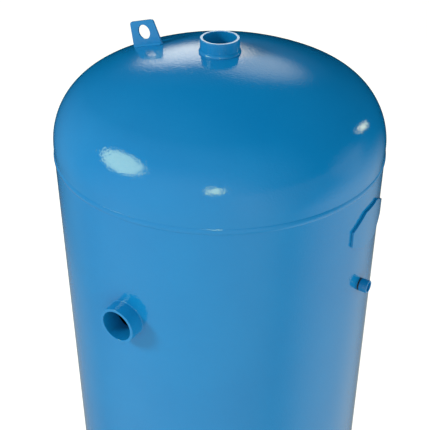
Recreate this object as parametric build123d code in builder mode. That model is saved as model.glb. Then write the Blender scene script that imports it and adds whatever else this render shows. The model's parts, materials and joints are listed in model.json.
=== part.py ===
"""A 200 litre vertical expansion vessel with a replaceable bladder, standing on three legs.

Millimetres, +Z up. The origin is on the vessel's axis at floor level. The charging valve and
the nameplate pad face +X, the side socket faces -Y, and the lifting lug leans towards -X.
"""
import os
from math import asin, atan2, cos, degrees, sin, sqrt

from build123d import *

# ---------------------------------------------------------------- driving dimensions
# Pressure shell
shell_radius = 250.0
wall = 2.5
shell_length = 840.0
bottom_seam_z = 350.0
top_seam_z = bottom_seam_z + shell_length

# Dished heads: a crown and a knuckle, on a short straight flange
crown_radius = 450.0
knuckle_radius = 95.0
straight_flange = 16.0

# Seam welds
seam_width = 9.4
seam_crown = 1.25
long_seam_width = 7.0
long_seam_crown = 0.8

# Pipe sockets, with the thread left smooth at the major diameter of G 1 1/2
socket_bore_radius = 23.9
socket_height = 21.5
socket_length = 31.0
socket_radius = 28.75
side_socket_z = top_seam_z - 175.0
top_weld_height = 4.5
top_weld_reach = 2.0
side_weld_leg = 1.2

# Lifting lug, in the vertical plane through the axis
lug_reach = 129.0
lug_base = 56.0
lug_top = 45.0
lug_height = 38.5
lug_foot = 4.0
lug_thickness = 3.0
lug_corner_radius = 5.0
lug_hole_radius = 11.0
lug_hole_height = 21.0
lug_weld_leg = 2.0

# Nameplate pad, rolled to the shell, with its corners cut off, a little to one side of the valve
pad_width = 108.0
pad_height = 62.0
pad_flat_width = 44.0
pad_flat_height = 25.0
pad_thickness = 3.5
pad_y = 12.0
pad_z = top_seam_z - 67.5

# Charging valve on the +X side: boss, body, core and screw cap, all on one axis
valve_z = top_seam_z - 170.0
boss_radius = 10.0
boss_length = 15.0
boss_bore_radius = 6.6
boss_face_x = shell_radius + 0.2
shank_length = 13.0
stem_radius = 5.6
stem_length = 8.6
stem_bore_radius = 2.6
gas_bore_radius = 2.0
core_length = 8.0
core_recess = 1.5
core_chamber_radius = 1.9
core_seat_radius = 1.1
core_seat_thickness = 2.0
core_bridge_thickness = 1.5
core_vent_radius = 0.4
core_vent_circle = 1.35
pin_radius = 0.7
pin_clearance = 0.05
pin_below_mouth = 0.3
pin_collar_radius = 1.5
pin_collar_thickness = 0.6
pin_collar_gap = 0.6
seal_radius = 1.6
seal_thickness = 1.2
seal_gap = 0.05
spring_wire_radius = 0.2
spring_radius = 1.2
spring_turns = 4
cap_radius = 10.0
cap_length = 12.8
cap_bore_radius = 6.1
cap_recess_radius = 7.6
cap_recess_depth = 4.2
cap_web = 1.8
cap_seal_thickness = 2.4

# Bladder neck and cover flange
neck_radius = 56.0
neck_bore_radius = 46.0
neck_top_z = 216.0
neck_face_z = 180.0
neck_flange_thickness = 12.0
flange_radius = 85.0
lip_thickness = 4.0
lip_radius = 64.0
cover_thickness = 10.0
stud_circle_radius = 73.5
stud_count = 8
stud_radius = 5.0
stud_hole_radius = 5.5
stud_grip = 10.0
washer_radius = 10.0
washer_thickness = 2.0
nut_height = 8.0
nut_across_flats = 17.0
stud_overhang = 4.0
nipple_radius = 21.2
nipple_thread_radius = 20.95
nipple_thread_length = 22.0
nipple_bore_radius = 17.5
nipple_end_z = 110.0

# Bladder, part filled with water
bladder_wall = 3.0
bladder_radius = 205.0
bladder_neck_radius = 44.5
bladder_shoulder_z = 262.0
bladder_top_z = 1080.0
bladder_top_fillet = 170.0
bladder_shoulder_fillet = 60.0
bladder_neck_fillet = 25.0

# Legs: folded channels under the lower head, each on a foot plate with one anchor hole
leg_angles = {"back": 90.0, "left": 210.0, "right": 330.0}
leg_radius = 225.0
leg_width = 60.0
leg_depth = 35.0
leg_gauge = 4.0
leg_bend_radius = 6.0
foot_thickness = 8.0
foot_width = 90.0
foot_inner_radius = 182.0
foot_outer_radius = 262.0
foot_corner_radius = 8.0
anchor_radius = 243.0
anchor_hole_radius = 7.0

# ---------------------------------------------------------------- derived dimensions
crown_centre = straight_flange - sqrt(
    (crown_radius - knuckle_radius) ** 2 - (shell_radius - knuckle_radius) ** 2
)
crown_start = degrees(atan2(straight_flange - crown_centre, shell_radius - knuckle_radius))
side_rim = shell_radius + socket_height
stem_end_x = boss_face_x + stem_length
core_end_x = stem_end_x - core_recess
core_start_x = core_end_x - core_length
core_bridge_x = core_end_x - core_bridge_thickness
core_ledge_x = core_start_x + core_seat_thickness
collar_end_x = core_bridge_x - pin_collar_gap
collar_start_x = collar_end_x - pin_collar_thickness
pin_end_x = stem_end_x - pin_below_mouth
seal_end_x = core_start_x - seal_gap
seal_start_x = seal_end_x - seal_thickness
pin_start_x = seal_start_x - 0.5
cap_x = boss_face_x + cap_seal_thickness
cap_end_x = cap_x + cap_length
cap_cavity_end_x = cap_end_x - cap_recess_depth - cap_web
cover_top_z = neck_face_z - lip_thickness
cover_face_z = cover_top_z - cover_thickness
washer_face_z = cover_face_z - washer_thickness
nut_face_z = washer_face_z - nut_height

top_plane = Plane(origin=(0, 0, top_seam_z), x_dir=(1, 0, 0), z_dir=(0, -1, 0))
bottom_plane = Plane(origin=(0, 0, bottom_seam_z), x_dir=(1, 0, 0), z_dir=(0, 1, 0))
valve_plane = Plane(origin=(0, 0, valve_z), x_dir=(1, 0, 0), z_dir=(0, -1, 0))
valve_axis = Axis((0, 0, valve_z), (1, 0, 0))


def crown_height(radius):
    """Height of a head's outer surface above its seam, at a radius on the crown."""
    return crown_centre + sqrt(crown_radius**2 - radius**2)


def head_section(inset):
    """Half section of the space under a head, drawn in from its outer surface by inset."""
    outer = shell_radius - inset
    knuckle = knuckle_radius - inset
    crown = crown_radius - inset
    knuckle_centre = (shell_radius - knuckle_radius, straight_flange)
    with BuildSketch() as section:
        with BuildLine():
            Polyline((0, crown_centre + crown), (0, 0), (outer, 0), (outer, straight_flange))
            CenterArc(knuckle_centre, knuckle, 0, crown_start)
            CenterArc((0, crown_centre), crown, crown_start, 90 - crown_start)
        make_face()
    return section.sketch


def head_outside(plane):
    """Everything inside a head's outer surface, for cutting other pieces to fit against it."""
    with BuildPart() as body:
        with BuildSketch(plane):
            add(head_section(0))
        revolve(axis=Axis.Z)
    return body.part


def turned(label, outline, plane=top_plane, axis=Axis.Z):
    """Piece turned about an axis from a closed outline of straight sides."""
    with BuildPart() as piece:
        with BuildSketch(plane):
            with BuildLine():
                Polyline(*outline, close=True)
            make_face()
        revolve(axis=axis)
    piece.part.label = label
    return piece


def on_valve_axis(label, outline):
    """Piece of the charging valve, turned about the valve's axis from (x, radius) points."""
    return turned(label, outline, valve_plane, valve_axis)


# ---------------------------------------------------------------- heads and shell
top_head_outside = head_outside(top_plane)
bottom_head_outside = head_outside(bottom_plane)

with BuildPart() as top_head:
    with BuildSketch(top_plane):
        add(head_section(0))
        add(head_section(wall), mode=Mode.SUBTRACT)
    revolve(axis=Axis.Z)
    with BuildSketch(Plane.XY.offset(top_seam_z)):
        Circle(socket_radius)
    extrude(amount=crown_radius, mode=Mode.SUBTRACT)
top_head.part.label = "top_head"

with BuildPart() as bottom_head:
    with BuildSketch(bottom_plane):
        add(head_section(0))
        add(head_section(wall), mode=Mode.SUBTRACT)
    revolve(axis=Axis.Z)
    with BuildSketch(Plane.XY.offset(bottom_seam_z)):
        Circle(neck_radius)
    extrude(amount=-crown_radius, mode=Mode.SUBTRACT)
bottom_head.part.label = "bottom_head"

with BuildPart() as shell:
    with BuildSketch(Plane.XY.offset(bottom_seam_z)):
        Circle(shell_radius)
        Circle(shell_radius - wall, mode=Mode.SUBTRACT)
    extrude(amount=shell_length)
    with BuildSketch(Plane.XZ):
        with Locations((0, side_socket_z)):
            Circle(socket_radius)
    extrude(amount=2 * shell_radius, mode=Mode.SUBTRACT)
    with BuildSketch(Plane.YZ):
        with Locations((0, valve_z)):
            Circle(boss_radius)
    extrude(amount=2 * shell_radius, mode=Mode.SUBTRACT)
shell.part.label = "shell"


def seam_weld(label, seam_z):
    """Convex bead round the vessel over one seam between a head and the shell."""
    upper = (shell_radius, seam_z + seam_width / 2)
    lower = (shell_radius, seam_z - seam_width / 2)
    with BuildPart() as bead:
        with BuildSketch(Plane.XZ):
            with BuildLine():
                Line(upper, lower)
                ThreePointArc(lower, (shell_radius + seam_crown, seam_z), upper)
            make_face()
        revolve(axis=Axis.Z)
    bead.part.label = label
    return bead


top_seam_weld = seam_weld("top_seam_weld", top_seam_z)
bottom_seam_weld = seam_weld("bottom_seam_weld", bottom_seam_z)

with BuildPart() as shell_seam_weld:
    with BuildSketch(Plane.XY.offset(bottom_seam_z + seam_width / 2)):
        with BuildLine():
            bead_right = (long_seam_width / 2, shell_radius - 0.5)
            bead_left = (-long_seam_width / 2, shell_radius - 0.5)
            ThreePointArc(bead_right, (0, shell_radius + long_seam_crown), bead_left)
            Line(bead_left, bead_right)
        make_face()
        Circle(shell_radius, mode=Mode.SUBTRACT)
    extrude(amount=shell_length - seam_width)
shell_seam_weld.part.label = "shell_seam_weld"

# ---------------------------------------------------------------- sockets and their welds
with BuildPart() as top_socket:
    with BuildSketch(Plane.XY.offset(top_seam_z + crown_height(socket_radius) + socket_height)):
        Circle(socket_radius)
        Circle(socket_bore_radius, mode=Mode.SUBTRACT)
    extrude(amount=-socket_length)
    rim_edges = top_socket.faces().sort_by(Axis.Z)[-1].edges().sort_by(SortBy.LENGTH)
    chamfer(rim_edges, length=0.8)
top_socket.part.label = "top_socket"

with BuildPart() as top_socket_weld:
    with BuildSketch(top_plane):
        foot = crown_height(socket_radius)
        weld_top = (socket_radius, foot + top_weld_height)
        weld_middle = (socket_radius + 0.75 * top_weld_reach, foot + 0.55 * top_weld_height)
        weld_toe = (socket_radius + top_weld_reach, foot - 0.5)
        with BuildLine():
            Polyline(weld_top, (socket_radius, foot - 3), (weld_toe[0], foot - 3), weld_toe)
            ThreePointArc(weld_toe, weld_middle, weld_top)
        make_face()
        add(head_section(0), mode=Mode.SUBTRACT)
    revolve(axis=Axis.Z)
top_socket_weld.part.label = "top_socket_weld"

with BuildPart() as side_socket:
    with BuildSketch(Plane.XZ.offset(side_rim)):
        with Locations((0, side_socket_z)):
            Circle(socket_radius)
            Circle(socket_bore_radius, mode=Mode.SUBTRACT)
    extrude(amount=-socket_length)
    rim_edges = side_socket.faces().sort_by(Axis.Y)[0].edges().sort_by(SortBy.LENGTH)
    chamfer(rim_edges, length=0.8)
side_socket.part.label = "side_socket"

with BuildPart() as side_socket_weld:
    with BuildSketch(Plane.XZ.offset(shell_radius - 6)):
        with Locations((0, side_socket_z)):
            Circle(socket_radius + side_weld_leg)
            Circle(socket_radius, mode=Mode.SUBTRACT)
    extrude(amount=6 + side_weld_leg)
    weld_edges = side_socket_weld.faces().sort_by(Axis.Y)[0].edges().sort_by(SortBy.LENGTH)
    chamfer(weld_edges[-1], length=side_weld_leg - 0.1)
    with BuildSketch(Plane.XY.offset(side_socket_z - 2 * socket_radius)):
        Circle(shell_radius)
    extrude(amount=4 * socket_radius, mode=Mode.SUBTRACT)
side_socket_weld.part.label = "side_socket_weld"

# ---------------------------------------------------------------- lifting lug
lug_lean = asin(lug_reach / crown_radius)
lug_plane = Plane(
    origin=(-lug_reach, 0, top_seam_z + crown_height(lug_reach)),
    x_dir=(cos(lug_lean), 0, sin(lug_lean)),
    z_dir=(0, -1, 0),
)

with BuildPart() as lifting_lug:
    with BuildSketch(lug_plane) as lug_outline:
        with BuildLine():
            Polyline(
                (-lug_base / 2, -lug_foot),
                (lug_base / 2, -lug_foot),
                (lug_base / 2, 0),
                (lug_top / 2, lug_height),
                (-lug_top / 2, lug_height),
                (-lug_base / 2, 0),
                close=True,
            )
        make_face()
        fillet(lug_outline.vertices().group_by(Axis.Y)[-1], radius=lug_corner_radius)
        with Locations((0, lug_hole_height)):
            Circle(lug_hole_radius, mode=Mode.SUBTRACT)
    extrude(amount=lug_thickness / 2, both=True)
    add(top_head_outside, mode=Mode.SUBTRACT)
lifting_lug.part.label = "lifting_lug"

with BuildPart() as lug_weld:
    lug_section_plane = Plane(lug_plane.origin, x_dir=(0, 1, 0), z_dir=lug_plane.x_dir)
    with BuildSketch(lug_section_plane.offset(2 - lug_base / 2)):
        with BuildLine():
            Polyline(
                (lug_thickness / 2, -lug_foot),
                (lug_thickness / 2, lug_weld_leg),
                (lug_thickness / 2 + lug_weld_leg, 0),
                (lug_thickness / 2 + lug_weld_leg, -lug_foot),
                close=True,
            )
        make_face()
        mirror(about=Plane.YZ)
    extrude(amount=lug_base - 4)
    add(top_head_outside, mode=Mode.SUBTRACT)
lug_weld.part.label = "lug_weld"

# ---------------------------------------------------------------- nameplate pad
with BuildPart() as nameplate_pad:
    with BuildSketch(Plane.XY.offset(pad_z - pad_height / 2)):
        Circle(shell_radius + pad_thickness)
        Circle(shell_radius, mode=Mode.SUBTRACT)
    extrude(amount=pad_height)
    with BuildSketch(Plane.YZ.offset(shell_radius / 2)):
        with BuildLine():
            Polyline(
                (pad_y - pad_width / 2, pad_z - pad_flat_height / 2),
                (pad_y - pad_flat_width / 2, pad_z - pad_height / 2),
                (pad_y + pad_flat_width / 2, pad_z - pad_height / 2),
                (pad_y + pad_width / 2, pad_z - pad_flat_height / 2),
                (pad_y + pad_width / 2, pad_z + pad_flat_height / 2),
                (pad_y + pad_flat_width / 2, pad_z + pad_height / 2),
                (pad_y - pad_flat_width / 2, pad_z + pad_height / 2),
                (pad_y - pad_width / 2, pad_z + pad_flat_height / 2),
                close=True,
            )
        make_face()
    extrude(amount=shell_radius, mode=Mode.INTERSECT)
nameplate_pad.part.label = "nameplate_pad"

# ---------------------------------------------------------------- charging valve
valve_boss = on_valve_axis(
    "valve_boss",
    [
        (boss_face_x - boss_length, boss_bore_radius),
        (boss_face_x, boss_bore_radius),
        (boss_face_x, boss_radius),
        (boss_face_x - boss_length, boss_radius),
    ],
)

valve_body = on_valve_axis(
    "valve_body",
    [
        (boss_face_x - shank_length, gas_bore_radius),
        (core_start_x, gas_bore_radius),
        (core_start_x, stem_bore_radius),
        (stem_end_x, stem_bore_radius),
        (stem_end_x, stem_radius - 0.5),
        (stem_end_x - 0.5, stem_radius),
        (boss_face_x, stem_radius),
        (boss_face_x, boss_bore_radius),
        (boss_face_x - shank_length, boss_bore_radius),
    ],
)

with BuildPart() as valve_core:
    with BuildSketch(valve_plane):
        with BuildLine():
            Polyline(
                (core_start_x, core_seat_radius),
                (core_ledge_x, core_seat_radius),
                (core_ledge_x, core_chamber_radius),
                (core_bridge_x, core_chamber_radius),
                (core_bridge_x, pin_radius + pin_clearance),
                (core_end_x, pin_radius + pin_clearance),
                (core_end_x, stem_bore_radius),
                (core_start_x, stem_bore_radius),
                close=True,
            )
        make_face()
    revolve(axis=valve_axis)
    with BuildSketch(Plane.YZ.offset(core_bridge_x - 0.1)):
        with Locations((0, valve_z)):
            with PolarLocations(core_vent_circle, 3):
                Circle(core_vent_radius)
    extrude(amount=core_bridge_thickness + 0.2, mode=Mode.SUBTRACT)
valve_core.part.label = "valve_core"

valve_pin = on_valve_axis(
    "valve_pin",
    [
        (pin_start_x, 0),
        (pin_start_x, pin_radius + 0.5),
        (seal_start_x, pin_radius + 0.5),
        (seal_start_x, pin_radius),
        (collar_start_x, pin_radius),
        (collar_start_x, pin_collar_radius),
        (collar_end_x, pin_collar_radius),
        (collar_end_x, pin_radius),
        (pin_end_x - 0.2, pin_radius),
        (pin_end_x, pin_radius - 0.2),
        (pin_end_x, 0),
    ],
)

core_seal = on_valve_axis(
    "core_seal",
    [
        (seal_start_x, pin_radius),
        (seal_end_x, pin_radius),
        (seal_end_x, seal_radius),
        (seal_start_x, seal_radius),
    ],
)

with BuildPart() as core_spring:
    spring_start = core_ledge_x + spring_wire_radius + 0.05
    spring_height = collar_start_x - spring_wire_radius - 0.05 - spring_start
    with BuildLine() as spring_path:
        Helix(
            pitch=spring_height / spring_turns,
            height=spring_height,
            radius=spring_radius,
            center=(spring_start, 0, valve_z),
            direction=(1, 0, 0),
        )
    with BuildSketch(Plane(spring_path.line @ 0, z_dir=spring_path.line % 0)):
        Circle(spring_wire_radius)
    sweep(is_frenet=True)
core_spring.part.label = "core_spring"

cap_seal = on_valve_axis(
    "cap_seal",
    [
        (boss_face_x, cap_bore_radius),
        (cap_x, cap_bore_radius),
        (cap_x, cap_radius - 0.3),
        (boss_face_x, cap_radius - 0.3),
    ],
)

valve_cap = on_valve_axis(
    "valve_cap",
    [
        (cap_x, cap_bore_radius),
        (cap_cavity_end_x, cap_bore_radius),
        (cap_cavity_end_x, 0),
        (cap_end_x - cap_recess_depth, 0),
        (cap_end_x - cap_recess_depth, cap_recess_radius),
        (cap_end_x, cap_recess_radius),
        (cap_end_x, cap_radius - 0.4),
        (cap_end_x - 0.4, cap_radius),
        (cap_x, cap_radius),
    ],
)

# ---------------------------------------------------------------- bladder neck and cover flange
with BuildPart() as neck_ring:
    with BuildSketch(Plane.XY.offset(neck_face_z)):
        Circle(flange_radius)
    extrude(amount=neck_flange_thickness)
    with BuildSketch(Plane.XY.offset(neck_face_z)):
        Circle(neck_radius)
    extrude(amount=neck_top_z - neck_face_z)
    with BuildSketch(Plane.XY.offset(neck_face_z)):
        Circle(neck_bore_radius)
        with PolarLocations(stud_circle_radius, stud_count, start_angle=180 / stud_count):
            Circle(stud_radius)
    extrude(amount=neck_top_z - neck_face_z, mode=Mode.SUBTRACT)
neck_ring.part.label = "neck_ring"

with BuildPart() as neck_weld:
    with BuildSketch(bottom_plane):
        neck_foot = crown_height(neck_radius)
        with BuildLine():
            Polyline(
                (neck_radius, neck_foot - 3),
                (neck_radius, neck_foot + 5),
                (neck_radius + 5, neck_foot - 1),
                (neck_radius + 5, neck_foot - 6),
                close=True,
            )
        make_face()
        add(head_section(0), mode=Mode.SUBTRACT)
    revolve(axis=Axis.Z)
neck_weld.part.label = "neck_weld"

with BuildPart() as cover_flange:
    with BuildSketch(Plane.XY.offset(cover_face_z)):
        Circle(flange_radius)
        Circle(nipple_radius, mode=Mode.SUBTRACT)
        with PolarLocations(stud_circle_radius, stud_count, start_angle=180 / stud_count):
            Circle(stud_hole_radius, mode=Mode.SUBTRACT)
    extrude(amount=cover_thickness)
    chamfer(cover_flange.edges().filter_by(GeomType.CIRCLE).sort_by(SortBy.RADIUS)[-2:], length=1)
cover_flange.part.label = "cover_flange"

water_nipple = turned(
    "water_nipple",
    [
        (nipple_bore_radius, nipple_end_z),
        (nipple_thread_radius - 1, nipple_end_z),
        (nipple_thread_radius, nipple_end_z + 1),
        (nipple_thread_radius, nipple_end_z + nipple_thread_length),
        (nipple_radius, nipple_end_z + nipple_thread_length),
        (nipple_radius, cover_top_z),
        (nipple_bore_radius, cover_top_z),
    ],
    plane=Plane.XZ,
)

nipple_weld = turned(
    "nipple_weld",
    [
        (nipple_radius, cover_face_z),
        (nipple_radius + 4, cover_face_z),
        (nipple_radius, cover_face_z - 4),
    ],
    plane=Plane.XZ,
)

with BuildPart() as flange_studs:
    with BuildSketch(Plane.XY.offset(nut_face_z - stud_overhang)):
        with PolarLocations(stud_circle_radius, stud_count, start_angle=180 / stud_count):
            Circle(stud_radius)
    extrude(amount=neck_face_z + stud_grip - nut_face_z + stud_overhang)
    chamfer(flange_studs.edges().group_by(Axis.Z)[0], length=0.8)
flange_studs.part.label = "flange_studs"

with BuildPart() as flange_washers:
    with BuildSketch(Plane.XY.offset(washer_face_z)):
        with PolarLocations(stud_circle_radius, stud_count, start_angle=180 / stud_count):
            Circle(washer_radius)
        with PolarLocations(stud_circle_radius, stud_count, start_angle=180 / stud_count):
            Circle(stud_hole_radius, mode=Mode.SUBTRACT)
    extrude(amount=washer_thickness)
flange_washers.part.label = "flange_washers"

with BuildPart() as flange_nuts:
    with BuildSketch(Plane.XY.offset(nut_face_z)):
        with PolarLocations(stud_circle_radius, stud_count, start_angle=180 / stud_count):
            RegularPolygon(nut_across_flats / 2, 6, major_radius=False)
        with PolarLocations(stud_circle_radius, stud_count, start_angle=180 / stud_count):
            Circle(stud_radius, mode=Mode.SUBTRACT)
    extrude(amount=nut_height)
flange_nuts.part.label = "flange_nuts"


# ---------------------------------------------------------------- bladder
def bladder_section(inset):
    """Half section of the bag, drawn in from its outer surface by inset."""
    radius = bladder_radius - inset
    neck = bladder_neck_radius - inset
    top = bladder_top_z - inset
    shoulder = bladder_shoulder_z + inset
    with BuildSketch() as section:
        with BuildLine():
            FilletPolyline(
                (0, top),
                (radius, top),
                (radius, shoulder + 40),
                (radius - 60, shoulder),
                (neck, shoulder - 12),
                (neck, cover_top_z),
                radius=(
                    bladder_top_fillet - inset,
                    bladder_shoulder_fillet - inset,
                    bladder_shoulder_fillet - inset,
                    bladder_neck_fillet + inset,
                ),
            )
            Polyline((neck, cover_top_z), (0, cover_top_z), (0, top))
        make_face()
    return section.sketch


with BuildPart() as bladder:
    with BuildSketch(Plane.XZ):
        add(bladder_section(0))
        with BuildLine():
            Polyline(
                (0, cover_top_z),
                (lip_radius, cover_top_z),
                (lip_radius, neck_face_z),
                (0, neck_face_z),
                close=True,
            )
        make_face()
        add(bladder_section(bladder_wall), mode=Mode.SUBTRACT)
    revolve(axis=Axis.Z)
bladder.part.label = "bladder"

# ---------------------------------------------------------------- legs
pieces = [
    top_head,
    bottom_head,
    shell,
    top_seam_weld,
    bottom_seam_weld,
    shell_seam_weld,
    top_socket,
    top_socket_weld,
    side_socket,
    side_socket_weld,
    lifting_lug,
    lug_weld,
    nameplate_pad,
    valve_boss,
    valve_body,
    valve_core,
    valve_pin,
    core_seal,
    core_spring,
    cap_seal,
    valve_cap,
    neck_ring,
    neck_weld,
    cover_flange,
    water_nipple,
    nipple_weld,
    flange_studs,
    flange_washers,
    flange_nuts,
    bladder,
]

for side, angle in leg_angles.items():
    leg_plane = Plane.XY.rotated((0, 0, angle))
    with BuildPart() as leg:
        with BuildSketch(leg_plane.offset(foot_thickness)) as leg_outline:
            with Locations((leg_radius - leg_depth / 2, 0)):
                Rectangle(leg_depth, leg_width)
            fillet(leg_outline.vertices().group_by(Axis.X)[-1], radius=leg_bend_radius)
            with Locations((leg_radius - leg_gauge - leg_depth / 2, 0)):
                Rectangle(leg_depth, leg_width - 2 * leg_gauge, mode=Mode.SUBTRACT)
        extrude(amount=bottom_seam_z - foot_thickness)
        add(bottom_head_outside, mode=Mode.SUBTRACT)
    leg.part.label = f"leg_{side}"

    with BuildPart() as foot_plate:
        with BuildSketch(leg_plane) as foot_outline:
            with Locations(((foot_inner_radius + foot_outer_radius) / 2, 0)):
                Rectangle(foot_outer_radius - foot_inner_radius, foot_width)
            fillet(foot_outline.vertices(), radius=foot_corner_radius)
            with Locations((anchor_radius, 0)):
                Circle(anchor_hole_radius, mode=Mode.SUBTRACT)
        extrude(amount=foot_thickness)
        chamfer(foot_plate.faces().sort_by(Axis.Z)[-1].edges(), length=0.6)
    foot_plate.part.label = f"foot_plate_{side}"
    pieces += [leg, foot_plate]

# ---------------------------------------------------------------- write the pieces out
os.makedirs("parts", exist_ok=True)
for piece in pieces:
    export_step(piece.part, f"parts/{piece.part.label}.step")
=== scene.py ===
"""Looks of the expansion vessel: shells, welds, threads, spring, bladder, materials and a studio.

Metres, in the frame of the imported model: +Z up, the origin on the vessel's axis at floor level,
+X towards the charging valve, -Y towards the side socket, -X towards the lifting lug.
"""

import json
from math import acos, asin, atan2, ceil, cos, degrees, pi, radians, sin, sqrt, tan

import bmesh
import bpy
from mathutils import Matrix, Vector


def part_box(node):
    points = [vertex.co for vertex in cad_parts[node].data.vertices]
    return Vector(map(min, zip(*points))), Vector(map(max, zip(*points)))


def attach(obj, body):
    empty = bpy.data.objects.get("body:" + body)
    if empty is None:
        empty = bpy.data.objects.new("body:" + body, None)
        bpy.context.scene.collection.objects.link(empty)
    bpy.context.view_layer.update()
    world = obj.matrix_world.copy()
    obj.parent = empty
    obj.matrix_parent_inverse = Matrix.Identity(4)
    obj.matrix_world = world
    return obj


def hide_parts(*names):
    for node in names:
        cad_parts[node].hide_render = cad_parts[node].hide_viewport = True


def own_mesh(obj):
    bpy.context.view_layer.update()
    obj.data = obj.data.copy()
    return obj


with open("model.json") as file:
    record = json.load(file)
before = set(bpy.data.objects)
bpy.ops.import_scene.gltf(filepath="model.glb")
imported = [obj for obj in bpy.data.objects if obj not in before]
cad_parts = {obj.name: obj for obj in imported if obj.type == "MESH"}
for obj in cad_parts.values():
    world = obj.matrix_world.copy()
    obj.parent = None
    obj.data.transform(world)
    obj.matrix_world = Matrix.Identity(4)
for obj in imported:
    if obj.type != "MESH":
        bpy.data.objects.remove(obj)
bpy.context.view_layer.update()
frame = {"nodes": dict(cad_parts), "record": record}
MM = 0.001
AXIS = 0.001 * MM  # nearly no radius, for a section that closes on its axis
ROUND = 288  # segments round the vessel


# ---------------------------------------------------------------- materials
def new_material(name, **settings):
    """Material with the given settings on its shader's own sockets."""
    material = bpy.data.materials.new(name)
    material.use_nodes = True
    shader = material.node_tree.nodes["Principled BSDF"]
    for socket, value in settings.items():
        shader.inputs[socket.replace("_", " ")].default_value = value
    return material, material.node_tree, shader


def noise(tree, scale, detail=2.0, roughness=0.5, stretch=(1, 1, 1)):
    """Noise in object space; its features are about 1 / scale metres across."""
    place = tree.nodes.new("ShaderNodeTexCoord")
    mapping = tree.nodes.new("ShaderNodeMapping")
    texture = tree.nodes.new("ShaderNodeTexNoise")
    mapping.inputs["Scale"].default_value = stretch
    texture.inputs["Scale"].default_value = scale
    texture.inputs["Detail"].default_value = detail
    texture.inputs["Roughness"].default_value = roughness
    tree.links.new(place.outputs["Object"], mapping.inputs["Vector"])
    tree.links.new(mapping.outputs["Vector"], texture.inputs["Vector"])
    return texture.outputs["Fac"]


def ramp(tree, factor, low, high, start=0.35, end=0.65):
    """Colour that goes from low to high as factor goes from start to end."""
    node = tree.nodes.new("ShaderNodeValToRGB")
    node.color_ramp.elements[0].position = start
    node.color_ramp.elements[0].color = (*low, 1)
    node.color_ramp.elements[1].position = end
    node.color_ramp.elements[1].color = (*high, 1)
    tree.links.new(factor, node.inputs["Fac"])
    return node.outputs["Color"]


def spread(tree, factor, low, high):
    """Number that goes from low to high as factor goes from 0.3 to 0.7."""
    node = tree.nodes.new("ShaderNodeMapRange")
    node.inputs["From Min"].default_value = 0.3
    node.inputs["From Max"].default_value = 0.7
    node.inputs["To Min"].default_value = low
    node.inputs["To Max"].default_value = high
    tree.links.new(factor, node.inputs["Value"])
    return node.outputs["Result"]


def bump(tree, shader, *layers):
    """Layers of relief, each a (height, depth in metres) pair, one on top of the other."""
    normal = None
    for height, depth in layers:
        node = tree.nodes.new("ShaderNodeBump")
        node.inputs["Distance"].default_value = depth
        tree.links.new(height, node.inputs["Height"])
        if normal:
            tree.links.new(normal, node.inputs["Normal"])
        normal = node.outputs["Normal"]
    tree.links.new(normal, shader.inputs["Normal"])


def enamel():
    """Gloss blue enamel: a clear mirror-like surface with the slight ripple of sprayed paint."""
    material, tree, shader = new_material("gloss_blue_enamel", IOR=1.5)
    shade = ramp(tree, noise(tree, 7, 3), (0.0035, 0.193, 0.462), (0.0042, 0.207, 0.482))
    tree.links.new(shade, shader.inputs["Base Color"])
    tree.links.new(spread(tree, noise(tree, 24, 4), 0.035, 0.06), shader.inputs["Roughness"])
    bump(tree, shader, (noise(tree, 330, 1), 0.0002), (noise(tree, 90, 2), 0.00003))
    return material


def zinc():
    """Bright zinc plating over turned and sawn steel."""
    material, tree, shader = new_material("zinc_plate", Metallic=1.0)
    shade = ramp(tree, noise(tree, 90, 5, 0.65), (0.50, 0.52, 0.55), (0.66, 0.67, 0.67))
    tree.links.new(shade, shader.inputs["Base Color"])
    tree.links.new(spread(tree, noise(tree, 160, 4), 0.24, 0.42), shader.inputs["Roughness"])
    bump(tree, shader, (noise(tree, 500, 4, 0.6, (1, 1, 6)), 0.00004))
    return material


def brass():
    """Turned brass with fine rings from the tool."""
    material, tree, shader = new_material("turned_brass", Metallic=1.0)
    shade = ramp(tree, noise(tree, 120, 4), (0.62, 0.42, 0.16), (0.78, 0.56, 0.27))
    tree.links.new(shade, shader.inputs["Base Color"])
    tree.links.new(spread(tree, noise(tree, 300, 4), 0.16, 0.32), shader.inputs["Roughness"])
    bump(tree, shader, (noise(tree, 900, 3, 0.6, (5, 1, 1)), 0.00002))
    return material


def spring_wire():
    """Drawn spring wire, darker than the plating, with marks along it."""
    material, tree, shader = new_material("spring_wire", Metallic=1.0)
    shade = ramp(tree, noise(tree, 800, 3), (0.40, 0.40, 0.42), (0.55, 0.55, 0.56))
    tree.links.new(shade, shader.inputs["Base Color"])
    tree.links.new(spread(tree, noise(tree, 1500, 3), 0.2, 0.35), shader.inputs["Roughness"])
    bump(tree, shader, (noise(tree, 2500, 3), 0.000005))
    return material


def seal_rubber():
    """Black moulded rubber with a slight sheen."""
    material, tree, shader = new_material("seal_rubber")
    shade = ramp(tree, noise(tree, 400, 4), (0.010, 0.010, 0.012), (0.020, 0.020, 0.022))
    tree.links.new(shade, shader.inputs["Base Color"])
    tree.links.new(spread(tree, noise(tree, 700, 3), 0.42, 0.6), shader.inputs["Roughness"])
    bump(tree, shader, (noise(tree, 1800, 4), 0.00002))
    return material


def butyl():
    """Matt black butyl of the bladder, with talc in places."""
    material, tree, shader = new_material("butyl")
    shade = ramp(tree, noise(tree, 18, 6, 0.6), (0.022, 0.022, 0.024), (0.055, 0.054, 0.052))
    tree.links.new(shade, shader.inputs["Base Color"])
    tree.links.new(spread(tree, noise(tree, 60, 4), 0.6, 0.85), shader.inputs["Roughness"])
    bump(tree, shader, (noise(tree, 350, 4), 0.0001), (noise(tree, 30, 3), 0.0004))
    return material


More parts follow.
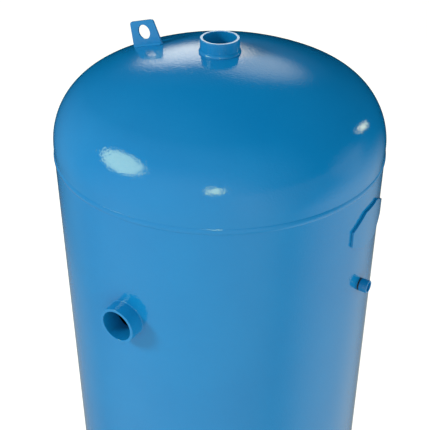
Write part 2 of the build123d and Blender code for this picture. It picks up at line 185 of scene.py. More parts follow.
materials = {
    "tank_paint": enamel(),
    "zinc_steel": zinc(),
    "brass": brass(),
    "spring_steel": spring_wire(),
    "seal_rubber": seal_rubber(),
    "butyl": butyl(),
}
slot_of = {part["node"]: part["material_slot"] for part in frame["record"]["subparts"]}
body_of = {
    node: body
    for body, members in frame["record"]["behaviour"]["bodies"].items()
    for node in members
}
for node, thing in frame["nodes"].items():
    thing.data.materials.clear()
    thing.data.materials.append(materials[slot_of[node]])


# ---------------------------------------------------------------- outlines
# An outline is a list of (point, normal) samples of a closed section, counterclockwise in the
# (radius, height) plane. A sharp corner is two samples at one place.
def line(start, end):
    """Straight side of an outline, with the normal on the right of the way it goes."""
    along = (Vector(end) - Vector(start)).normalized()
    normal = (along.y, -along.x)
    return [(start, normal), (end, normal)]


def arc(centre, radius, start, end, step=4.0):
    """Arc of an outline between two angles in degrees, with the normals facing out of a convex
    corner, which is drawn counterclockwise, and into a hollow one."""
    count = max(2, ceil(abs(end - start) / step))
    side = 1 if end > start else -1
    samples = []
    for i in range(count + 1):
        angle = radians(start + (end - start) * i / count)
        out = (cos(angle), sin(angle))
        point = (centre[0] + radius * out[0], centre[1] + radius * out[1])
        samples.append((point, (side * out[0], side * out[1])))
    return samples


def bulge(start, end, height):
    """Shallow arc of an outline that stands out to the right of the way from start to end."""
    half = (Vector(end) - Vector(start)) / 2
    radius = (half.length**2 + height**2) / (2 * height)
    out = Vector((half.y, -half.x)).normalized()
    centre = Vector(start) + half - out * (radius - height)
    middle = degrees(atan2(out.y, out.x))
    reach = degrees(asin(half.length / radius))
    return arc(tuple(centre), radius, middle - reach, middle + reach, 10)


def rounded(corners, radii):
    """Closed outline of straight sides with an arc of the given radius at each corner."""
    count = len(corners)
    radii = [radii] * count if isinstance(radii, (int, float)) else radii
    corner_arcs = []
    for i, radius in enumerate(radii):
        here = Vector(corners[i])
        back = (Vector(corners[i - 1]) - here).normalized()
        on = (Vector(corners[(i + 1) % count]) - here).normalized()
        half = back.angle(on) / 2
        if radius == 0 or half > radians(89):
            corner_arcs.append([corners[i]])
            continue
        side = 1 if back.x * on.y - back.y * on.x < 0 else -1
        centre = here + (back + on).normalized() * (radius / sin(half))
        first = here + back * (radius / tan(half)) - centre
        start = degrees(atan2(first.y, first.x))
        turn = side * (180 - degrees(2 * half))
        corner_arcs.append(arc(centre, radius, start, start + turn, 15))
    outline = []
    for i, corner in enumerate(corner_arcs):
        following = corner_arcs[(i + 1) % count]
        if len(corner) > 1:
            outline += corner
        start = corner[-1][0] if len(corner) > 1 else corner[0]
        end = following[0][0] if len(following) > 1 else following[0]
        outline += line(tuple(start), tuple(end))
    return outline


# ---------------------------------------------------------------- mesh helpers
def finished(mesh, name, node):
    """Links a mesh as a piece that rides on its node's body and stands for it."""
    piece = bpy.data.objects.new(name, mesh)
    bpy.context.scene.collection.objects.link(piece)
    mesh.materials.clear()
    mesh.materials.append(materials[slot_of[node]])
    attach(piece, body_of[node])
    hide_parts(node)
    return piece


def revolved_mesh(name, outline, place=Matrix.Identity(4), segments=ROUND):
    """Mesh turned from an outline about its own Z axis, then placed, with exact normals."""
    points, corner_of = [], []
    for point, normal in outline:
        if not points or (Vector(point) - Vector(points[-1])).length > 1e-7:
            points.append(tuple(point))
        corner_of.append(len(points) - 1)
    if (Vector(points[0]) - Vector(points[-1])).length < 1e-7:
        points.pop()
    rings = len(points)
    corner_of = [index % rings for index in corner_of]
    turns = [(cos(2 * pi * k / segments), sin(2 * pi * k / segments)) for k in range(segments)]
    vertices = [(r * c, r * s, z) for c, s in turns for r, z in points]
    faces, normals = [], []
    for i in range(len(outline)):
        j = (i + 1) % len(outline)
        low, high = corner_of[i], corner_of[j]
        if low == high:
            continue
        for k in range(segments):
            m = (k + 1) % segments
            faces.append((k * rings + low, m * rings + low, m * rings + high, k * rings + high))
            for turn, sample in ((k, i), (m, i), (m, j), (k, j)):
                nr, nz = outline[sample][1]
                normals.append((nr * turns[turn][0], nr * turns[turn][1], nz))
    mesh = bpy.data.meshes.new(name)
    mesh.from_pydata(vertices, [], faces)
    mesh.shade_smooth()
    mesh.normals_split_custom_set(normals)
    mesh.transform(place)
    return mesh


def turned(name, node, outline, place=Matrix.Identity(4), segments=ROUND):
    """Piece turned from an outline, which stands for one node."""
    finished(revolved_mesh(name, outline, place, segments), name, node)


def looking(direction, origin):
    """Placement that carries local +Z to a direction and the local origin to a point."""
    turn = Vector((0, 0, 1)).rotation_difference(Vector(direction))
    return Matrix.Translation(origin) @ turn.to_matrix().to_4x4()


def evaluated(thing):
    """Mesh of an object with its modifiers applied."""
    graph = bpy.context.evaluated_depsgraph_get()
    graph.update()
    return bpy.data.meshes.new_from_object(thing.evaluated_get(graph))


def softened(name, node, width, flat_angle=1.0):
    """Piece like a CAD node, with its flat faces joined and its edges rounded to a width."""
    mesh = frame["nodes"][node].data.copy()
    sheet = bmesh.new()
    sheet.from_mesh(mesh)
    bmesh.ops.remove_doubles(sheet, verts=sheet.verts, dist=1e-6)
    bmesh.ops.dissolve_limit(
        sheet, angle_limit=radians(flat_angle), verts=sheet.verts, edges=sheet.edges
    )
    for face in sheet.faces:
        face.smooth = True
    sheet.to_mesh(mesh)
    sheet.free()
    if "custom_normal" in mesh.attributes:
        mesh.attributes.remove(mesh.attributes["custom_normal"])
    draft = bpy.data.objects.new("draft", mesh)
    bpy.context.scene.collection.objects.link(draft)
    edge = draft.modifiers.new("edge", "BEVEL")
    edge.width = width
    edge.segments = 3
    edge.limit_method = "ANGLE"
    edge.angle_limit = radians(35)
    edge.harden_normals = True
    result = evaluated(draft)
    bpy.data.objects.remove(draft)
    finished(result, name, node)


def plug_mesh(radius, start, end, place, segments=96):
    """Solid round bar along a placed Z axis, for cutting holes."""
    sheet = bmesh.new()
    bmesh.ops.create_cone(
        sheet,
        cap_ends=True,
        segments=segments,
        radius1=radius,
        radius2=radius,
        depth=end - start,
        matrix=place @ Matrix.Translation((0, 0, (start + end) / 2)),
    )
    mesh = bpy.data.meshes.new("plug")
    sheet.to_mesh(mesh)
    sheet.free()
    return mesh


def cut(mesh, *cutters):
    """Mesh with the cutter meshes taken out of it."""
    scene = bpy.context.scene.collection
    draft = bpy.data.objects.new("draft", mesh)
    scene.objects.link(draft)
    tools = [bpy.data.objects.new("cutter", cutter) for cutter in cutters]
    for tool in tools:
        scene.objects.link(tool)
        hole = draft.modifiers.new("hole", "BOOLEAN")
        hole.operation = "DIFFERENCE"
        hole.solver = "EXACT"
        hole.object = tool
    result = evaluated(draft)
    for thing in (draft, *tools):
        bpy.data.objects.remove(thing)
    return result


def looped_mesh(name, rings):
    """Mesh of closed sections that follow each other round in a loop."""
    sheet = bmesh.new()
    grid = [[sheet.verts.new(point) for point in ring] for ring in rings]
    for k, here in enumerate(grid):
        on = grid[(k + 1) % len(grid)]
        for i in range(len(here)):
            j = (i + 1) % len(here)
            sheet.faces.new((here[i], on[i], on[j], here[j])).smooth = True
    mesh = bpy.data.meshes.new(name)
    sheet.to_mesh(mesh)
    sheet.free()
    mesh.set_sharp_from_angle(angle=radians(38))
    return mesh


def threaded_mesh(name, below, above, radius, zone, pitch, depth, segments=96):
    """Turned mesh with a screw thread cut into one stretch of its outer side.

    Its section is the (radius, height) points below, then the thread up the zone, then the
    points above. The thread runs out over half a turn at each end.
    """
    low, high = zone
    steps = ceil((high - low) / pitch * 10)
    thread_rows = [(radius, low + (high - low) * i / steps) for i in range(steps + 1)]
    rows = [*below, *thread_rows, *above]
    rings = []
    for k in range(segments):
        angle = 2 * pi * k / segments
        ring = []
        for row, (reach, height) in enumerate(rows):
            if len(below) <= row < len(below) + len(thread_rows):
                wave = 1 - abs(2 * ((height / pitch - k / segments) % 1) - 1)
                fade = min(1, (height - low) / (pitch / 2), (high - height) / (pitch / 2))
                reach -= depth * fade * min(1, max(0, 1.3 * wave - 0.15))
            ring.append((reach * cos(angle), reach * sin(angle), height))
        rings.append(ring)
    return looped_mesh(name, rings)


def joined(name, meshes):
    """One mesh of several."""
    sheet = bmesh.new()
    for mesh in meshes:
        sheet.from_mesh(mesh)
    result = bpy.data.meshes.new(name)
    sheet.to_mesh(result)
    sheet.free()
    result.set_sharp_from_angle(angle=radians(38))
    return result


def hex_nut_mesh(across_flats, bore, low, high, segments=72):
    """Hexagon nut about Z with chamfered corners and a countersunk bore."""
    flat = across_flats / 2
    chamfer_start, chamfer_slope = flat * 0.97, 1.9
    drop = flat * 0.09
    sink = 0.6 * MM
    heights = [low + drop * step / 3 for step in (0, 1, 2, 3)]
    heights += [high - drop * step / 3 for step in (3, 2, 1, 0)]
    rings = []
    for k in range(segments):
        angle = 2 * pi * k / segments
        reach = flat / cos((angle + pi / 6) % (pi / 3) - pi / 6)
        ring = []
        for height in heights:
            inset = min(height - low, high - height)
            ring.append((min(reach, chamfer_start + chamfer_slope * inset), height))
        ring += [(bore + sink, high), (bore, high - sink), (bore, low + sink), (bore + sink, low)]
        rings.append([(r * cos(angle), r * sin(angle), z) for r, z in ring])
    return looped_mesh("nut", rings)


def spring_mesh(radius, wire_radius, low, high, turns, flat_turns, steps=36, sides=12):
    """Compression spring about Z whose wire lies flat for part of a turn at each end."""
    count = ceil(turns * steps)
    sheet = bmesh.new()
    rings = []
    for i in range(count + 1):
        turn = turns * i / count
        share = min(1, max(0, (turn - flat_turns) / (turns - 2 * flat_turns)))
        angle = 2 * pi * turn
        height = low + (high - low) * share
        ring = []
        for k in range(sides):
            around = 2 * pi * k / sides
            reach = radius + wire_radius * cos(around)
            place = (reach * cos(angle), reach * sin(angle), height + wire_radius * sin(around))
            ring.append(sheet.verts.new(place))
        rings.append(ring)
    for here, on in zip(rings, rings[1:]):
        for k in range(sides):
            m = (k + 1) % sides
            sheet.faces.new((here[k], on[k], on[m], here[m])).smooth = True
    sheet.faces.new(rings[0])
    sheet.faces.new(list(reversed(rings[-1])))
    bmesh.ops.recalc_face_normals(sheet, faces=sheet.faces)
    mesh = bpy.data.meshes.new("spring")
    sheet.to_mesh(mesh)
    sheet.free()
    return mesh


# ---------------------------------------------------------------- shell and heads
shell_low, shell_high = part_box("shell")
shell_radius = round(shell_high.y, 4)
bottom_seam, top_seam = shell_low.z, shell_high.z
wall = 2.5 * MM
crown_radius = 450 * MM
knuckle_radius = 95 * MM
straight_flange = 16 * MM
crown_centre = straight_flange - sqrt(
    (crown_radius - knuckle_radius) ** 2 - (shell_radius - knuckle_radius) ** 2
)
crown_start = degrees(atan2(straight_flange - crown_centre, shell_radius - knuckle_radius))
top_socket_low, top_socket_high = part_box("top_socket")
top_socket_radius = round(top_socket_high.x, 5)
neck_radius = 56 * MM
side_low, side_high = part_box("side_socket")
side_socket_z = (side_low.z + side_high.z) / 2
side_socket_radius = round((side_high.z - side_low.z) / 2, 5)
cap_low, cap_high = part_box("valve_cap")
valve_z = (cap_low.z + cap_high.z) / 2
boss_radius = 10 * MM
weld_sink = 0.3 * MM  # how far the foot of a weld stands in the plate


def crown_height(radius):
    """Height of a head's outer surface above its seam, at a radius on the crown."""
    return crown_centre + sqrt(crown_radius**2 - radius**2)


def head_outline(hole_radius):
    """Section of a dished head with a hole in the middle of its crown."""
    knuckle = (shell_radius - knuckle_radius, straight_flange)
    crown = (0, crown_centre)
    outer_end = degrees(acos(hole_radius / crown_radius))
    inner_end = degrees(acos(hole_radius / (crown_radius - wall)))
    top = (hole_radius, crown_height(hole_radius))
    under = (hole_radius, crown_centre + (crown_radius - wall) * sin(radians(inner_end)))
    return [
        *line((shell_radius, 0), (shell_radius, straight_flange)),
        *arc(knuckle, knuckle_radius, 0, crown_start, 2),
        *arc(crown, crown_radius, crown_start, outer_end, 1.5),
        *line(top, under),
        *arc(crown, crown_radius - wall, inner_end, crown_start, 3),
        *arc(knuckle, knuckle_radius - wall, crown_start, 0, 4),
        *line((shell_radius - wall, straight_flange), (shell_radius - wall, 0)),
        *line((shell_radius - wall, 0), (shell_radius, 0)),
    ]


def shell_mesh():
    """Rolled shell with the holes for the side socket and the valve boss."""
    inner = shell_radius - wall
    plug_start, plug_end = 0.1, 0.4
    facing = 0.95
    outline = [
        *line((shell_radius, bottom_seam), (shell_radius, top_seam)),
        *line((shell_radius, top_seam), (inner, top_seam)),
        *line((inner, top_seam), (inner, bottom_seam)),
        *line((inner, bottom_seam), (shell_radius, bottom_seam)),
    ]
    holes = []
    for direction, height, radius in (
        ((0, -1, 0), side_socket_z, side_socket_radius),
        ((1, 0, 0), valve_z, boss_radius),
    ):
        place = looking(direction, (0, 0, height))
        holes.append(plug_mesh(radius, plug_start, plug_end, place))
    mesh = cut(revolved_mesh("shell", outline), *holes)
    normals = []
    for face in mesh.polygons:
        middle = Vector((face.center.x, face.center.y, 0)).normalized()
        side = face.normal.dot(middle)
        for index in face.vertices:
            place = mesh.vertices[index].co
            out = Vector((place.x, place.y, 0)).normalized()
            rolled = out if side > 0 else -out
            normals.append(rolled if abs(side) > facing else face.normal)
    mesh.shade_smooth()
    mesh.normals_split_custom_set([tuple(n) for n in normals])
    return mesh


top_place = Matrix.Translation((0, 0, top_seam))
bottom_place = looking((0, 0, -1), (0, 0, bottom_seam))
turned("top_dish", "top_head", head_outline(top_socket_radius), top_place)
turned("bottom_dish", "bottom_head", head_outline(neck_radius), bottom_place)
finished(shell_mesh(), "rolled_shell", "shell")


# ---------------------------------------------------------------- welds
def seam_bead(name, node):
    """Convex bead round the vessel over one seam."""
    low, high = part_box(node)
    half, crown = (high.z - low.z) / 2, high.y - shell_radius
    radius = (half**2 + crown**2) / (2 * crown)
    spread_angle = degrees(asin(half / radius))
    centre = (shell_radius + crown - radius, 0)
    outline = [
        *arc(centre, radius, -spread_angle, spread_angle, 5),
        *line((shell_radius, half), (shell_radius - weld_sink, half)),
        *line((shell_radius - weld_sink, half), (shell_radius - weld_sink, -half)),
        *line((shell_radius - weld_sink, -half), (shell_radius, -half)),
    ]
    turned(name, node, outline, Matrix.Translation((0, 0, (low.z + high.z) / 2)))


def saddle_bead(name, node, radius, leg, segments=144):
    """Hollow fillet where a socket facing -Y meets the round shell."""
    sheet = bmesh.new()
    rings = []
    steps = 6
    for k in range(segments):
        angle = 2 * pi * k / segments
        ring = []
        for i in range(steps + 1):
            sweep = pi / 2 * i / steps
            reach = radius + leg * (1 - cos(sweep))
            rise = leg * (1 - sin(sweep))
            x = reach * cos(angle)
            ring.append((x, -sqrt(shell_radius**2 - x**2) - rise, reach * sin(angle)))
        x, z = radius * cos(angle), radius * sin(angle)
        ring.append((x, -sqrt(shell_radius**2 - x**2) + weld_sink, z))
        rings.append([sheet.verts.new((x, y, z + side_socket_z)) for x, y, z in ring])
    count = len(rings[0])
    for k in range(segments):
        here, on = rings[k], rings[(k + 1) % segments]
        for i in range(count):
            j = (i + 1) % count
            sheet.faces.new((here[i], here[j], on[j], on[i])).smooth = True
    bmesh.ops.recalc_face_normals(sheet, faces=sheet.faces)
    mesh = bpy.data.meshes.new(name)
    sheet.to_mesh(mesh)
    sheet.free()
    mesh.set_sharp_from_angle(angle=radians(50))
    finished(mesh, name, node)


side_weld_leg = 1.2 * MM
seam_bead("top_seam_bead", "top_seam_weld")
seam_bead("bottom_seam_bead", "bottom_seam_weld")
saddle_bead("side_socket_bead", "side_socket_weld", side_socket_radius, side_weld_leg)

weld_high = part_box("top_socket_weld")[1]
socket_foot = crown_height(top_socket_radius)
weld_height = weld_high.z - top_seam - socket_foot
weld_reach = round(weld_high.x, 5) - top_socket_radius
weld_bulge = 0.8 * MM
weld_toe = (top_socket_radius + weld_reach, crown_height(top_socket_radius + weld_reach))
weld_top = (top_socket_radius, socket_foot + weld_height)
weld_root = (top_socket_radius, socket_foot - weld_sink)
turned(
    "top_socket_bead",
    "top_socket_weld",
    [
        *line(weld_root, weld_toe),
        *bulge(weld_toe, weld_top, weld_bulge),
        *line(weld_top, weld_root),
    ],
    top_place,
)


# ---------------------------------------------------------------- sockets
def socket(name, node, outer, bore, start, end, place):
    """Open pipe socket with rounded rims; start and end are heights along its axis."""
    foot, lip = 0.5 * MM, 0.9 * MM
    corners = [(bore, start), (outer, start), (outer, end), (bore, end)]
    turned(name, node, rounded(corners, [foot, foot, lip, lip]), place, 192)


socket_bore = 23.9 * MM
socket(
    "top_pipe_socket",
    "top_socket",
    top_socket_radius,
    socket_bore,
    top_socket_low.z,
    top_socket_high.z,
    Matrix.Identity(4),
)
socket(
    "side_pipe_socket",
    "side_socket",
    side_socket_radius,
    socket_bore,
    -side_high.y,
    -side_low.y,
    looking((0, -1, 0), (0, 0, side_socket_z)),
)

# ---------------------------------------------------------------- plates
softened("lifting_eye", "lifting_lug", 0.5 * MM)
softened("name_pad", "nameplate_pad", 0.5 * MM)
for side in ("back", "left", "right"):
    softened(f"leg_channel_{side}", f"leg_{side}", 0.7 * MM)
    softened(f"foot_{side}", f"foot_plate_{side}", 0.7 * MM)
softened("neck_flange", "neck_ring", 0.8 * MM)
softened("water_flange", "cover_flange", 0.6 * MM)
softened("washers", "flange_washers", 0.3 * MM)

# ---------------------------------------------------------------- charging valve
valve_place = looking((1, 0, 0), (0, 0, valve_z))
cap_radius = round((cap_high.z - cap_low.z) / 2, 5)
cap_bore = 6.1 * MM
cap_recess = 7.6 * MM
cap_recess_depth = 4.2 * MM
cap_web = 1.8 * MM
turned(
    "screw_cap",
    "valve_cap",
    rounded(
        [
            (cap_bore, cap_low.x),
            (cap_radius, cap_low.x),
            (cap_radius, cap_high.x),
            (cap_recess, cap_high.x),
            (cap_recess, cap_high.x - cap_recess_depth),
            (AXIS, cap_high.x - cap_recess_depth),
            (AXIS, cap_high.x - cap_recess_depth - cap_web),
            (cap_bore, cap_high.x - cap_recess_depth - cap_web),
        ],
        [0.3 * MM, 0.3 * MM, 0.7 * MM, 0.5 * MM, 0.6 * MM, 0, 0, 0.3 * MM],
    ),
    valve_place,
    96,
)
seal_low, seal_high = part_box("cap_seal")
seal_radius = round((seal_high.z - seal_low.z) / 2, 5)
turned(
    "cap_gasket",
    "cap_seal",
    rounded(
        [
            (cap_bore, seal_low.x),
            (seal_radius, seal_low.x),
            (seal_radius, seal_high.x),
            (cap_bore, seal_high.x),
        ],
        0.6 * MM,
    ),
    valve_place,
    96,
)

# ---------------------------------------------------------------- water nipple
nipple_low, nipple_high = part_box("water_nipple")
nipple_radius = 21.2 * MM
nipple_thread_radius = 20.95 * MM
nipple_bore = 17.5 * MM
nipple_thread_end = nipple_low.z + 22 * MM
nipple_chamfer = 1 * MM
pipe_pitch = 25.4 / 11 * MM  # eleven threads to the inch
pipe_thread_depth = 1.4 * MM
pipe = threaded_mesh(
    "water_pipe",
    [(nipple_bore, nipple_low.z), (nipple_thread_radius - nipple_chamfer, nipple_low.z)],
    [
        (nipple_radius, nipple_thread_end),
        (nipple_radius, nipple_high.z),
        (nipple_bore, nipple_high.z),
    ],
    nipple_thread_radius,
    (nipple_low.z + nipple_chamfer, nipple_thread_end),
    pipe_pitch,
    pipe_thread_depth,
)
finished(pipe, "water_pipe", "water_nipple")

# ---------------------------------------------------------------- studs and nuts
stud_radius = 5 * MM
stud_pitch = 1.5 * MM
stud_thread_depth = 0.85 * MM
stud_chamfer = 0.8 * MM
stud_low, stud_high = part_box("flange_studs")
nut_low, nut_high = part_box("flange_nuts")
stud_circle = 73.5 * MM
stud_count = 8
nut_across_flats = 17 * MM
studs, nuts = [], []
for i in range(stud_count):
    angle = 2 * pi * (i + 0.5) / stud_count
    place = Matrix.Translation((stud_circle * cos(angle), stud_circle * sin(angle), 0))
    stud = threaded_mesh(
        "stud",
        [(AXIS, stud_low.z), (stud_radius - stud_chamfer, stud_low.z)],
        [(stud_radius, stud_high.z), (AXIS, stud_high.z)],
        stud_radius,
        (stud_low.z + stud_chamfer, nut_high.z),
        stud_pitch,
        stud_thread_depth,
        48,
    )
    nut = hex_nut_mesh(nut_across_flats, stud_radius, nut_low.z, nut_high.z)
    stud.transform(place)
    nut.transform(place)
    studs.append(stud)
    nuts.append(nut)
finished(joined("stud_set", studs), "stud_set", "flange_studs")
finished(joined("nut_set", nuts), "nut_set", "flange_nuts")

# ---------------------------------------------------------------- valve stem
body_low, body_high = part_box("valve_body")
stem_radius = 5.6 * MM
stem_thread_pitch = 1 * MM  # as far as the cap lifts in a turn
stem_thread_depth = 0.45 * MM
stem_chamfer = 0.5 * MM
stem_relief = 0.4 * MM
stem_foot = seal_low.x
gas_bore = 2 * MM
core_bore = 2.6 * MM
core_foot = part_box("valve_core")[0].x
shank_radius = round((body_high.z - body_low.z) / 2, 5)
stem = threaded_mesh(
    "valve_stem",
    [
        (gas_bore, body_low.x),
        (shank_radius, body_low.x),
        (shank_radius, stem_foot),
        (stem_radius, stem_foot),
    ],
    [
        (stem_radius - stem_chamfer, body_high.x),
        (core_bore, body_high.x),
        (core_bore, core_foot),
        (gas_bore, core_foot),
    ],
    stem_radius,
    (stem_foot + stem_relief, body_high.x - stem_chamfer),
    stem_thread_pitch,
    stem_thread_depth,
    72,
)
stem.transform(valve_place)
finished(stem, "valve_stem", "valve_body")

# ---------------------------------------------------------------- valve spring
spring_low, spring_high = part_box("core_spring")
wire_radius = 0.2 * MM
coil = spring_mesh(
    (spring_high.z - spring_low.z) / 2 - wire_radius,
    wire_radius,
    spring_low.x + wire_radius,
    spring_high.x - wire_radius,
    turns=4.4,
    flat_turns=0.4,
)
coil.transform(valve_place)
coil_spring = finished(coil, "coil_spring", "core_spring")
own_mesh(coil_spring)

# ---------------------------------------------------------------- bladder
bag_low, bag_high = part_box("bladder")
bag_wall = 3 * MM
bag_radius = 205 * MM
bag_neck = 44.5 * MM
bag_shoulder = 262 * MM
lip_radius = 64 * MM
lip_top = bag_low.z + 4 * MM


bag_neck_rise = 12 * MM
bag_foot_width, bag_foot_rise = 60 * MM, 40 * MM
bag_neck_fillet = 25 * MM
bag_foot_fillet = 60 * MM
bag_top_fillet = 170 * MM
lobe_count, lobe_depth = 3, 0.06
fold_count, fold_depth = 11, 0.008


def bag_side(inset, foot):
    """Corners and fillets of one face of the bag, drawn in by inset, from its neck to its top."""
    radius, neck = bag_radius - inset, bag_neck - inset
    shoulder, top = bag_shoulder + inset, bag_high.z - inset
    corners = [
        (neck, foot),
        (neck, shoulder - bag_neck_rise),
        (radius - bag_foot_width, shoulder),
        (radius, shoulder + bag_foot_rise),
        (radius, top),
        (AXIS, top),
    ]
    foot_fillet = bag_foot_fillet - inset
    fillets = [0, bag_neck_fillet + inset, foot_fillet, foot_fillet, bag_top_fillet - inset, 0]
    return corners, fillets


def bag_section(spacing):
    """Points of the bag's closed section, no further apart than spacing."""
    outer, outer_fillets = bag_side(0, lip_top)
    inner, inner_fillets = bag_side(bag_wall, bag_low.z)
    corners = [*outer, *reversed(inner), (lip_radius, bag_low.z), (lip_radius, lip_top)]
    fillets = [*outer_fillets, *reversed(inner_fillets), 0, 0]
    section = []
    for point, _ in rounded(corners, fillets):
        if section and (Vector(point) - section[-1]).length < 1e-7:
            continue
        if section:
            gap = Vector(point) - section[-1]
            parts = ceil(gap.length / spacing)
            section += [section[-1] + gap * (i / parts) for i in range(1, parts)]
        section.append(Vector(point))
    return section


def bag_mesh(spacing, segments=144):
    """Hollow bag with a lip at its foot, its sides drawn in to soft upright lobes."""
    section = bag_section(spacing)
    rings = []
    for k in range(segments):
        angle = 2 * pi * k / segments
        ring = []
        for radius, height in section:
            share = (height - bag_shoulder) / (bag_high.z - bag_shoulder)
            swell = sin(pi * min(1, max(0, share))) ** 0.7
            lobe = 0.5 - 0.5 * cos(lobe_count * angle + 0.9 * sin(2 * pi * share))
            fold = 0.5 - 0.5 * cos(fold_count * angle - 1.4 * sin(3 * pi * share))
            reach = radius * (1 - swell * (lobe_depth * lobe**2 + fold_depth * fold))
            ring.append((reach * cos(angle), reach * sin(angle), height))
        rings.append(ring)
    return looped_mesh("bag", rings)


finished(bag_mesh(14 * MM), "bladder_bag", "bladder")


# ---------------------------------------------------------------- camera
# The camera stands a little off the vessel's own axes: the photograph's view is turned about Z.
view_turn = radians(32.8)
view_tilt = radians(32.77)
aim_height = top_seam - 4.7 * MM
camera_reach = 4.665 * shell_radius
camera_side = -0.0283 * shell_radius
camera_rise = 2.485 * shell_radius
focal_ratio = 857.9 / 430  # focal length over the picture's width
sensor_width = 36
camera = bpy.data.objects.new("camera", bpy.data.cameras.new("camera"))
bpy.context.scene.collection.objects.link(camera)
camera.data.sensor_width = sensor_width
camera.data.lens = sensor_width * focal_ratio
camera.data.dof.use_dof = False
camera_stand = Vector((camera_side, -camera_reach, aim_height + camera_rise))
camera.location = Matrix.Rotation(view_turn, 3, "Z") @ camera_stand
camera.rotation_euler = (pi / 2 - view_tilt, 0, view_turn)
bpy.context.scene.camera = camera

# ---------------------------------------------------------------- studio
bpy.context.scene.view_settings.view_transform = "Standard"


def studio_direction(azimuth, elevation):
    """Unit vector; azimuth 0 points from the vessel to the camera's side, 90 to its right."""
    turn, rise = radians(azimuth), radians(elevation)
    out = Vector((sin(turn) * cos(rise), -cos(turn) * cos(rise), sin(rise)))
    return Matrix.Rotation(view_turn, 3, "Z") @ out


def lamp(
    name,
    azimuth,
    elevation,
    half_angles,
    radiance,
    roll=0,
    colour=(1, 1, 1),
    seen=True,
    lights=True,
):
    """Elliptical lamp that faces the dome, as wide and high as half_angles each way from there.

    One that isn't seen only brightens the paint, and one that doesn't light is only mirrored.
    """
    distance = 4.0
    light = bpy.data.lights.new(name, "AREA")
    light.shape = "ELLIPSE"
    light.size, light.size_y = (2 * distance * tan(radians(half)) for half in half_angles)
    light.energy = radiance * pi * light.size * light.size_y
    light.color = colour
    thing = bpy.data.objects.new(name, light)
    bpy.context.scene.collection.objects.link(thing)
    direction = studio_direction(azimuth, elevation)
    thing.location = Vector((0, 0, top_seam)) + direction * distance
    thing.rotation_euler = (
        direction.to_track_quat("Z", "Y").to_matrix() @ Matrix.Rotation(radians(roll), 3, "Z")
    ).to_euler()
    thing.visible_camera = False
    thing.visible_glossy = seen
    thing.visible_diffuse = lights


lamp("key_lamp", -71.5, 27.5, (15, 13), 6.3, colour=(0.79, 1.0, 0.47), lights=False)
lamp("front_lamp", -3, 18.5, (5.2, 4.2), 8.9, colour=(0.78, 1.0, 0.42), lights=False)
lamp("right_lamp", 118.5, 15.5, (2.6, 6.5), 6, roll=40, colour=(0.94, 1.0, 0.64), lights=False)
lamp("key_fill", -71.5, 28, (7, 7), 30, seen=False)
lamp("front_fill", 30, 20, (35, 35), 0.6, seen=False)


def glow(tree, azimuth, elevation, start, full, strength):
    """Radiance round a direction: all of it within full degrees, none beyond start degrees."""
    place = tree.nodes.new("ShaderNodeTexCoord")
    along = tree.nodes.new("ShaderNodeVectorMath")
    along.operation = "DOT_PRODUCT"
    along.inputs[1].default_value = studio_direction(azimuth, elevation)
    fade = tree.nodes.new("ShaderNodeMapRange")
    fade.interpolation_type = "SMOOTHSTEP"
    fade.inputs["From Min"].default_value = cos(radians(start))
    fade.inputs["From Max"].default_value = cos(radians(full))
    fade.inputs["To Max"].default_value = strength
    tree.links.new(place.outputs["Generated"], along.inputs[0])
    tree.links.new(along.outputs["Value"], fade.inputs["Value"])
    return fade.outputs["Result"]


def combined(tree, operation, first, second):
    """Sum, product or larger of two numbers."""
    node = tree.nodes.new("ShaderNodeMath")
    node.operation = operation
    tree.links.new(first, node.inputs[0])
    tree.links.new(second, node.inputs[1])
    return node.outputs["Value"]


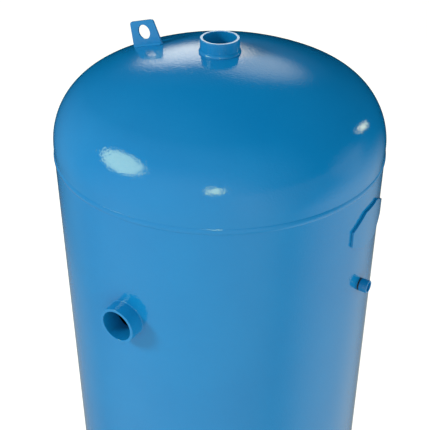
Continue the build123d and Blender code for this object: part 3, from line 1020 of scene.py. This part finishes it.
def studio_world():
    """White to the camera, even light on the paint, and in reflections a room that is pale on
    the left and low on the right, dark above, with two soft panels behind, a little warm."""
    world = bpy.data.worlds.new("studio")
    bpy.context.scene.world = world
    world.use_nodes = True
    tree = world.node_tree
    background = tree.nodes["Background"]
    room = glow(tree, -44, -2, 120, 58, 0.35)
    for azimuth, elevation, start, full, strength in (
        (-25, -18, 75, 30, 0.45),
        (102, -42, 45, 1, 0.75),
        (92, 6, 20, 4, 0.35),
        (-175, 22, 14, 1, 3.4),
        (170, 31, 14, 1, 1.55),
        (180, 26, 26, 4, 0.12),
    ):
        room = combined(tree, "ADD", room, glow(tree, azimuth, elevation, start, full, strength))
    front = glow(tree, 60, 0, 62, 35, 0.22)
    below = glow(tree, 0, -90, 104, 100, 1)
    room = combined(tree, "ADD", room, combined(tree, "MULTIPLY", front, below))
    room = combined(tree, "MAXIMUM", room, glow(tree, 0, -90, 64, 50, 0.35))
    path = tree.nodes.new("ShaderNodeLightPath")
    mirrored = tree.nodes.new("ShaderNodeMix")
    mirrored.inputs["A"].default_value = 0.5
    tree.links.new(path.outputs["Is Glossy Ray"], mirrored.inputs["Factor"])
    tree.links.new(room, mirrored.inputs["B"])
    seen = tree.nodes.new("ShaderNodeMix")
    seen.inputs["B"].default_value = 1.0
    tree.links.new(path.outputs["Is Camera Ray"], seen.inputs["Factor"])
    tree.links.new(mirrored.outputs["Result"], seen.inputs["A"])
    tree.links.new(seen.outputs["Result"], background.inputs["Strength"])
    tint = ramp(tree, path.outputs["Is Glossy Ray"], (1, 1, 1), (1, 0.98, 0.86), 0, 1)
    tree.links.new(tint, background.inputs["Color"])


def studio_floor():
    """Wide pale floor, a little luminous so that it stays white round the vessel."""
    mesh = bpy.data.meshes.new("floor")
    reach = 40
    corners = [(-reach, -reach, 0), (reach, -reach, 0), (reach, reach, 0), (-reach, reach, 0)]
    mesh.from_pydata(corners, [], [(0, 1, 2, 3)])
    floor = bpy.data.objects.new("floor", mesh)
    bpy.context.scene.collection.objects.link(floor)
    material, tree, shader = new_material(
        "pale_floor", Roughness=0.9, Specular_IOR_Level=0.0, Emission_Strength=0.82
    )
    shader.inputs["Emission Color"].default_value = (1, 0.99, 0.9, 1)
    shade = ramp(tree, noise(tree, 0.6, 3), (0.43, 0.43, 0.43), (0.47, 0.47, 0.47))
    tree.links.new(shade, shader.inputs["Base Color"])
    mesh.materials.append(material)
    floor.visible_glossy = False


studio_world()
studio_floor()
